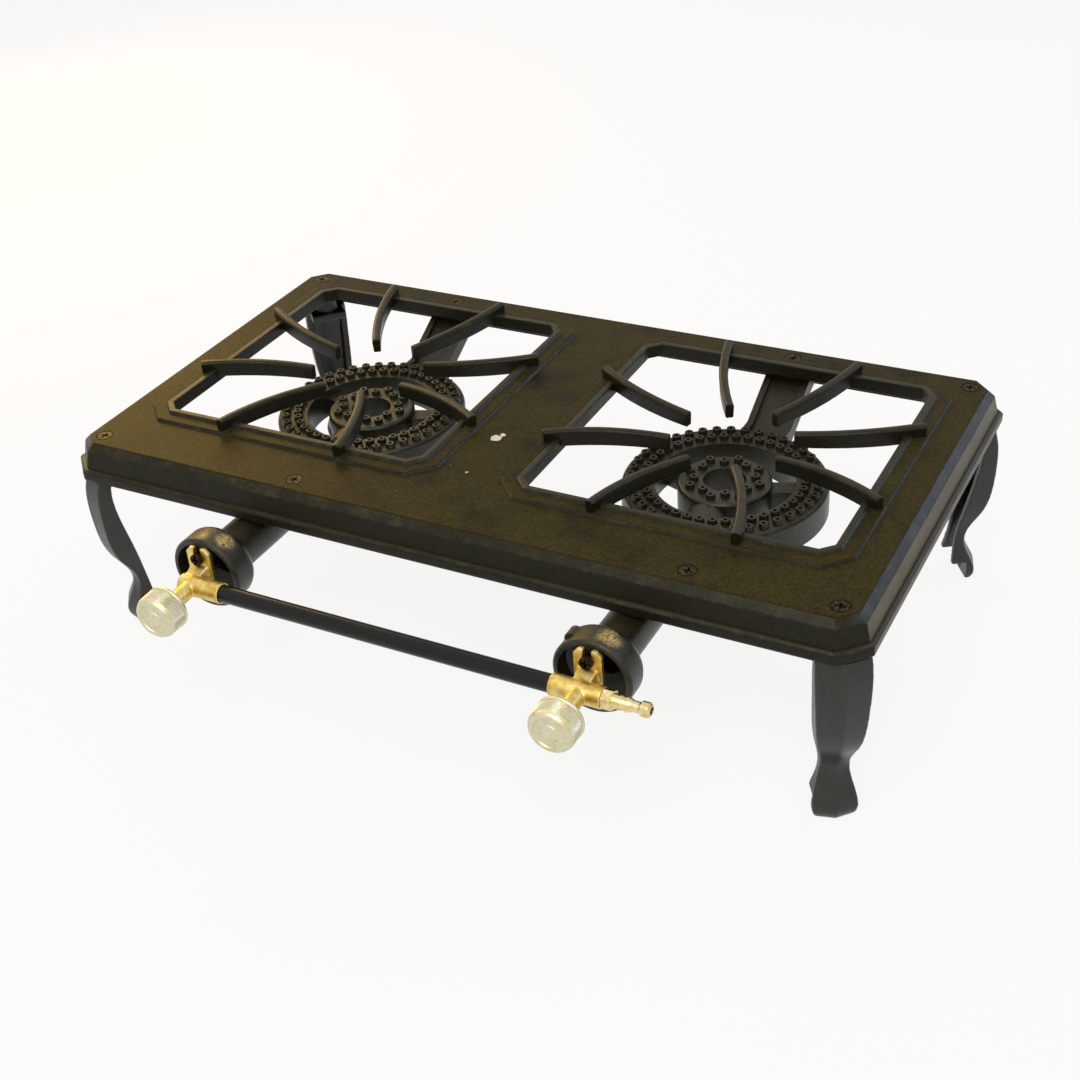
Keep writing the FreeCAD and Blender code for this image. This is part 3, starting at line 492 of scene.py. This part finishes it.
# %% Burners, tube, nozzle and screws
soft_pieces = {
    "manifold_tube": ("supply_tube", "tube_paint", tube_paint, 0.4),
    "hose_nozzle": ("nozzle", "machined_brass", turned_brass, 0.15),
    "leg_screws": ("leg_screw_heads", "screw_steel", oiled_steel, 0.2),
    "burner_screws": ("burner_screw_heads", "screw_steel", oiled_steel, 0.2),
}
for side in ("left", "right"):
    soft_pieces[f"burner_{side}"] = (f"ring_burner_{side}", "burner_iron", burner_paint, 0.45)
    soft_pieces[f"valve_screw_{side}"] = (f"clamp_screw_{side}", "screw_steel", rusty_steel, 0.3)
for node, (name, slot, finish, width_mm) in soft_pieces.items():
    piece = welded_copy(node, name)
    rounded(piece, width_mm, segments=2)
    finished(piece, "table", finish, node)

# %% [markdown]
# The legs and the brass valve bodies are small castings that curve everywhere, and a bevel would leave
# seams on them. They are rebuilt from even cells of less than a millimetre and smoothed, as a sand mould
# rounds every edge. The valves have finer cells and more passes, because they were filed after casting.

# %% Legs and valve bodies
def sand_cast(piece, cell_mm, passes):
    """Rebuild the active piece from even cells and smooth it."""
    applied(piece, "REMESH", mode="VOXEL", voxel_size=cell_mm * MM)
    applied(piece, "SMOOTH", factor=0.5, iterations=passes)
    bpy.ops.object.shade_smooth()


for corner in ("front_left", "front_right", "rear_left", "rear_right"):
    piece = welded_copy(f"leg_{corner}", f"cabriole_leg_{corner}")
    sand_cast(piece, cell_mm=0.8, passes=10)
    finished(piece, "table", leg_paint, f"leg_{corner}")
for side in ("left", "right"):
    piece = welded_copy(f"valve_body_{side}", f"brass_valve_{side}")
    sand_cast(piece, cell_mm=0.4, passes=24)
    finished(piece, "table", cast_brass, f"valve_body_{side}")

# %% [markdown]
# Spindles, gland nuts, injectors and packing are hidden inside, so their CAD nodes stay as they are and
# only take a finish.

# %% Finishes for the pieces inside
inside = {
    "spindle": turned_brass,
    "gland_nut": turned_brass,
    "injector": turned_brass,
    "packing": packing_yarn,
}
for side in ("left", "right"):
    for kind, finish in inside.items():
        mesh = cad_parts[f"{kind}_{side}"].data
        mesh.materials.clear()
        mesh.materials.append(finish)
print("inside pieces:", 2 * len(inside))

# %% [markdown]
# ## Knobs
# A knob is turned from bar: a hollow back over the gland nut, a smooth flange, a band of fine straight
# knurling, a rounded shoulder, and a face with a ring round a sunken disc. It is turned here too: a disc is
# extruded from station to station, each with its own radius, and every second point of the band is then
# drawn in to cut the knurls. A station is a radius and a distance in front of the back, in millimetres.

# %% The stations of a knob
knob_low, knob_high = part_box("knob_left")
knob_radius = (knob_high.z - knob_low.z) / 2 / MM
knob_length = (knob_high.y - knob_low.y) / MM
crest = knob_radius - 0.35
hollow_back = [(2.54, 14.8), (2.54, 9.5), (9.98, 9.5), (9.98, 0.3), (10.3, 0.0), (15.0, 0.0)]
flange = [(knob_radius - 0.2, 0.25), (knob_radius, 0.7), (knob_radius, 2.0), (knob_radius - 0.2, 2.3)]
band = [(crest - 0.5, 2.6), (crest - 0.5, 2.9), (crest, 3.3), (crest, 13.4), (crest - 0.55, 14.0)]
shoulder = [(crest - 0.75, 14.9), (crest - 1.3, 15.8), (crest - 2.2, 16.6), (crest - 3.2, knob_length)]
groove_sunk = [(11.0, 0.0), (10.6, 0.2), (10.2, 0.9), (9.6, 1.2), (6.6, 1.2)]
disc_sunk = [(6.2, 1.0), (5.7, 0.5), (5.2, 0.4), (1.0, 0.4)]
front = [(radius, knob_length - sunk) for radius, sunk in groove_sunk + disc_sunk]
knob_stations = hollow_back + flange + band + shoulder + front
print(len(knob_stations), "stations on a knob of", round(2 * knob_radius, 1), "mm")

# %% Turn a piece
def turned_piece(name, stations, axis_x, axis_z, back_y, steps):
    """Extrude a disc through stations of radius and distance in front of the back, about a line along Y."""
    bpy.ops.object.select_all(action="DESELECT")
    radius, ahead = stations[0]
    bpy.ops.mesh.primitive_circle_add(
        vertices=steps, radius=radius * MM, fill_type="NGON",
        location=(axis_x, back_y - ahead * MM, axis_z), rotation=(math.radians(90), 0, 0))
    piece = bpy.context.active_object
    piece.name = name
    piece.data.name = name
    bpy.ops.object.transform_apply(location=True, rotation=True, scale=True)
    bpy.ops.object.mode_set(mode="EDIT")
    bpy.ops.mesh.select_all(action="SELECT")
    for next_radius, next_ahead in stations[1:]:
        move = Vector((0, (ahead - next_ahead) * MM, 0))
        bpy.ops.mesh.extrude_region_move(TRANSFORM_OT_translate={"value": move})
        grow = next_radius / radius
        bpy.ops.transform.resize(
            value=(grow, 1, grow), center_override=(axis_x, back_y - next_ahead * MM, axis_z))
        radius, ahead = next_radius, next_ahead
    bpy.ops.mesh.select_all(action="SELECT")
    bpy.ops.mesh.remove_doubles(threshold=WELD_MM * MM)
    bpy.ops.mesh.normals_make_consistent(inside=False)
    bpy.ops.object.mode_set(mode="OBJECT")
    return piece


print("a piece is turned through", len(knob_stations) - 1, "extrusions")

# %% Make both knobs and cut their knurls
KNURLS = 60
KNURL_DEPTH_MM = 0.55
KNURL_FROM_MM = 3.2
KNURL_TO_MM = 13.5
KNOB_SHARP_DEGREES = 24


def knurl(piece, axis_x, axis_z, back_y):
    """Draw in every second point of the band, about the knob's own line."""
    first = back_y - KNURL_FROM_MM * MM
    last = back_y - KNURL_TO_MM * MM
    step = math.pi / KNURLS
    for vertex in piece.data.vertices:
        turn = math.atan2(vertex.co.z - axis_z, vertex.co.x - axis_x) / step
        vertex.select = last <= vertex.co.y <= first and round(turn) % 2 == 1
    for part in (piece.data.edges, piece.data.polygons):
        part.foreach_set("select", [False] * len(part))
    shrink = 1 - KNURL_DEPTH_MM / crest
    bpy.ops.object.mode_set(mode="EDIT")
    bpy.ops.mesh.select_mode(type="VERT")
    bpy.ops.transform.resize(value=(shrink, 1, shrink), center_override=(axis_x, back_y, axis_z))
    bpy.ops.object.mode_set(mode="OBJECT")


for side in ("left", "right"):
    low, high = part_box(f"knob_{side}")
    middle = (low + high) / 2
    piece = turned_piece(f"knurled_knob_{side}", knob_stations, middle.x, middle.z, high.y, 2 * KNURLS)
    knurl(piece, middle.x, middle.z, high.y)
    select_only(piece)
    bpy.ops.object.shade_smooth_by_angle(angle=math.radians(KNOB_SHARP_DEGREES))
    finished(piece, f"knob_{side}", zinc, f"knob_{side}")

# %% [markdown]
# ## Floor, light and camera
# The floor is a plain white sheet. What the camera and the gloss see of it is mostly plain white, and a
# part of it stays a lit surface, so a soft shadow still holds the feet down. The world is white to the
# camera and the gloss too, and a plain grey light to everything else.

# %% Floor
FLOOR_M = 12
PLAIN_SHARE = 0.87


def seen_directly(tree):
    """1 for what the camera, a reflection or clear glass sees, 0 for light that falls on things."""
    path = add(tree, "ShaderNodeLightPath", {})
    glossy = add(tree, "ShaderNodeMath", {
        0: path["Is Camera Ray"], 1: path["Is Glossy Ray"]}, operation="MAXIMUM")[0]
    return add(tree, "ShaderNodeMath", {
        0: glossy, 1: path["Is Transmission Ray"]}, operation="MAXIMUM")[0]


bpy.ops.object.select_all(action="DESELECT")
bpy.ops.mesh.primitive_plane_add(size=FLOOR_M, location=(0, 0, 0))
floor = bpy.context.active_object
floor.name = "floor"
paper = bpy.data.materials.new("white_paper_floor")
paper.use_nodes = True
tree = paper.node_tree
tree.nodes.clear()
lit = add(tree, "ShaderNodeBsdfDiffuse", {"Color": tone("#eeeeec")})["BSDF"]
plain = add(tree, "ShaderNodeEmission", {"Color": tone("#ffffff"), "Strength": 1.0})["Emission"]
share = add(tree, "ShaderNodeMath", {0: seen_directly(tree), 1: PLAIN_SHARE}, operation="MULTIPLY")[0]
both = add(tree, "ShaderNodeMixShader", {0: share, 1: lit, 2: plain})["Shader"]
add(tree, "ShaderNodeOutputMaterial", {"Surface": both})
floor.data.materials.append(paper)
print("floor:", paper.name)

# %% World
world = bpy.data.worlds.new("studio")
bpy.context.scene.world = world
world.use_nodes = True
tree = world.node_tree
tree.nodes.clear()
air = add(tree, "ShaderNodeMix", {
    0: seen_directly(tree), 6: tone("#a8a8a8"), 7: tone("#f5f5f4")}, data_type="RGBA")[2]
glow = add(tree, "ShaderNodeBackground", {"Color": air, "Strength": 1.0})["Background"]
add(tree, "ShaderNodeOutputWorld", {"Surface": glow})
print("world:", world.name)

# %% [markdown]
# A broad warm panel stands behind on the left, where the top mirrors it, a narrow cool one behind on the
# right, where the right-hand bevels catch it, and a large neutral one overhead in front.

# %% Lights
aim = Vector((0, plate_middle_y, table_top))


def panel(name, place, size, watts, colour):
    """A square light panel that faces the table."""
    bpy.ops.object.select_all(action="DESELECT")
    bpy.ops.object.light_add(type="AREA", location=place)
    lamp = bpy.context.active_object
    lamp.name = name
    lamp.data.size = size
    lamp.data.energy = watts
    lamp.data.color = tone(colour)[:3]
    lamp.rotation_euler = (aim - Vector(place)).to_track_quat("-Z", "Y").to_euler()


panel("warm_panel", (-1.38, 0.82, 0.80), size=0.8, watts=14, colour="#ffca5c")
panel("cool_panel", (1.15, 1.15, 0.75), size=0.5, watts=5.5, colour="#a8ccff")
panel("overhead_panel", (0.4, -1.3, 1.9), size=1.4, watts=26, colour="#fff6ea")

# %% [markdown]
# The camera stands where the photographer stood: front right, looking down by about 34 degrees, with the
# picture tilted a little. Its place was worked out from the table's own straight edges and equal rings.

# %% Camera
AZIMUTH, ELEVATION, ROLL = (math.radians(angle) for angle in (29.98, 33.62, -4.60))
DISTANCE_MM = 1208.36
TARGET_MM = (2.35, -8.16, -105.39)
LENS_MM = 53.65
SENSOR_MM = 36.0
back = Vector((
    math.sin(AZIMUTH) * math.cos(ELEVATION), -math.cos(AZIMUTH) * math.cos(ELEVATION), math.sin(ELEVATION)))
right = (-back).cross(Vector((0, 0, 1))).normalized()
up = right.cross(-back)
tilted_right = math.cos(ROLL) * right + math.sin(ROLL) * up
tilted_up = math.cos(ROLL) * up - math.sin(ROLL) * right
bpy.ops.object.select_all(action="DESELECT")
bpy.ops.object.camera_add()
camera = bpy.context.active_object
camera.data.sensor_width = SENSOR_MM
camera.data.lens = LENS_MM
stand = Vector(TARGET_MM) * MM + aim + back * DISTANCE_MM * MM
turn = Matrix((tilted_right, tilted_up, back)).transposed().to_4x4()
camera.matrix_world = Matrix.Translation(stand) @ turn
bpy.context.scene.camera = camera
bpy.context.scene.view_settings.view_transform = "Standard"
print("camera at", [round(c, 3) for c in camera.matrix_world.translation])

# %% [markdown]
# ## The size stays the CAD size

# %% Finish
print("scene dressed")
